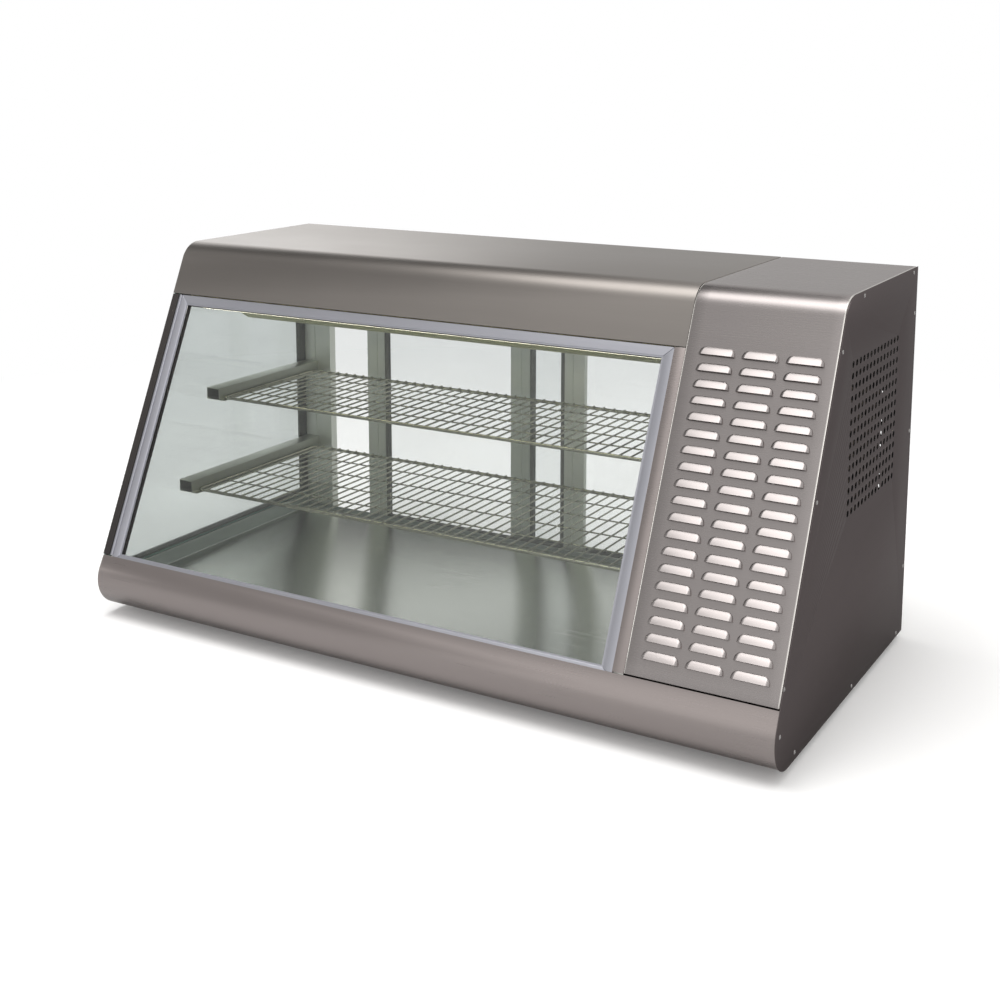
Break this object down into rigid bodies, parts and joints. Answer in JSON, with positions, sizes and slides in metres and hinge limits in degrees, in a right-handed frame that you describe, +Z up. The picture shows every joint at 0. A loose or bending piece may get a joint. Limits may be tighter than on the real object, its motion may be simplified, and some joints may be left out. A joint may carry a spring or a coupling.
{
  "type": "refrigerated countertop display case",
  "caption": "Countertop refrigerated food display case with sloped double-glazed front, glazed side, wire shelves, rear sliding doors and a louvred machine compartment.",
  "frame": {"origin": "on the counter, under the middle of the case", "axes": "+X to the customer's right along the case, +Y towards the operator's side, +Z up"},
  "size_m": [1.2, 0.6, 0.612],
  "materials": {
    "stainless_front": "satin brushed",
    "stainless_top": "satin brushed",
    "stainless_side": "satin brushed",
    "liner_steel": "satin brushed",
    "galvanised_steel": "matt zinc",
    "frame_aluminium": "satin anodised",
    "door_aluminium": "satin anodised",
    "arm_steel": "satin",
    "shelf_wire": "bright plated",
    "glazing": "clear polished",
    "black_seal": "matt",
    "foam": "matt foam",
    "white_diffuser": "satin translucent",
    "black_plastic": "fine texture",
    "grey_plastic": "satin",
    "black_enamel": "semi-gloss",
    "fin_aluminium": "mill",
    "foot_rubber": "matt"
  },
  "bodies": {
    "case": {"front_apron": "stainless_front", "front_filler_strip": "stainless_front", "louvred_cover": "stainless_front", "rear_service_panel": "stainless_front", "hood": "stainless_top", "right_side_panel": "stainless_side", "display_deck": "liner_steel", "ceiling_panel": "liner_steel", "evaporator_tray": "liner_steel", "partition_wall": "liner_steel", "base_tray": "galvanised_steel", "fan_shroud": "galvanised_steel", "left_corner_bead": "frame_aluminium", "front_frame_bottom": "frame_aluminium", "front_frame_right": "frame_aluminium", "front_frame_top": "frame_aluminium", "front_frame_left": "frame_aluminium", "lamp_housing": "frame_aluminium", "rear_sill_track": "door_aluminium", "rear_top_track": "door_aluminium", "left_jamb": "door_aluminium", "right_jamb": "door_aluminium", "upper_rail_left": "arm_steel", "upper_rail_right": "arm_steel", "lower_rail_left": "arm_steel", "lower_rail_right": "arm_steel", "left_glass_outer": "glazing", "left_glass_inner": "glazing", "front_glass_outer": "glazing", "front_glass_inner": "glazing", "left_glass_spacer": "black_seal", "left_glass_edge_trim": "black_seal", "front_glass_spacer": "black_seal", "base_insulation": "foam", "hood_insulation": "foam", "lamp_diffuser": "white_diffuser", "thermostat": "black_plastic", "switch_body": "black_plastic", "power_inlet": "black_plastic", "fan_motor": "black_enamel", "compressor": "black_enamel", "evaporator_coil": "fin_aluminium", "condenser_coil": "fin_aluminium", "foot_front_left": "foot_rubber", "foot_rear_left": "foot_rubber", "foot_front_right": "foot_rubber", "foot_rear_right": "foot_rubber"},
    "left_door": {"left_door_frame": "door_aluminium", "left_door_glass": "glazing", "left_door_handle": "black_plastic"},
    "right_door": {"right_door_frame": "door_aluminium", "right_door_glass": "glazing", "right_door_handle": "black_plastic"},
    "upper_shelf": {"upper_shelf": "shelf_wire"},
    "lower_shelf": {"lower_shelf": "shelf_wire"},
    "condenser_fan": {"condenser_fan": "black_plastic"},
    "power_switch": {"power_switch": "grey_plastic"},
    "down_button": {"down_button": "grey_plastic"},
    "set_button": {"set_button": "grey_plastic"},
    "up_button": {"up_button": "grey_plastic"}
  },
  "joints": [
    {"name": "left_door_slide", "type": "slide", "parent": "case", "child": "left_door", "axis": [1, 0, 0], "range_m": [-0.086, 0.309]},
    {"name": "right_door_slide", "type": "slide", "parent": "case", "child": "right_door", "axis": [1, 0, 0], "range_m": [-0.395, 0]},
    {"name": "upper_shelf_lift", "type": "slide", "parent": "case", "child": "upper_shelf", "axis": [0, 0, 1], "range_m": [0, 0.03]},
    {"name": "lower_shelf_lift", "type": "slide", "parent": "case", "child": "lower_shelf", "axis": [0, 0, 1], "range_m": [0, 0.03]},
    {"name": "condenser_fan_spin", "type": "hinge", "parent": "case", "child": "condenser_fan", "pos_m": [0.487, -0.107, 0.145], "axis": [0, 1, 0], "continuous": true},
    {"name": "power_switch_rock", "type": "hinge", "parent": "case", "child": "power_switch", "pos_m": [0.539, 0.29, 0.536], "axis": [1, 0, 0], "range_deg": [0, 20]},
    {"name": "down_button_press", "type": "slide", "parent": "case", "child": "down_button", "axis": [0, -1, 0], "range_m": [0, 0.0015], "stiffness_N_per_m": 300},
    {"name": "set_button_press", "type": "slide", "parent": "case", "child": "set_button", "axis": [0, -1, 0], "range_m": [0, 0.0015], "stiffness_N_per_m": 300},
    {"name": "up_button_press", "type": "slide", "parent": "case", "child": "up_button", "axis": [0, -1, 0], "range_m": [0, 0.0015], "stiffness_N_per_m": 300}
  ]
}
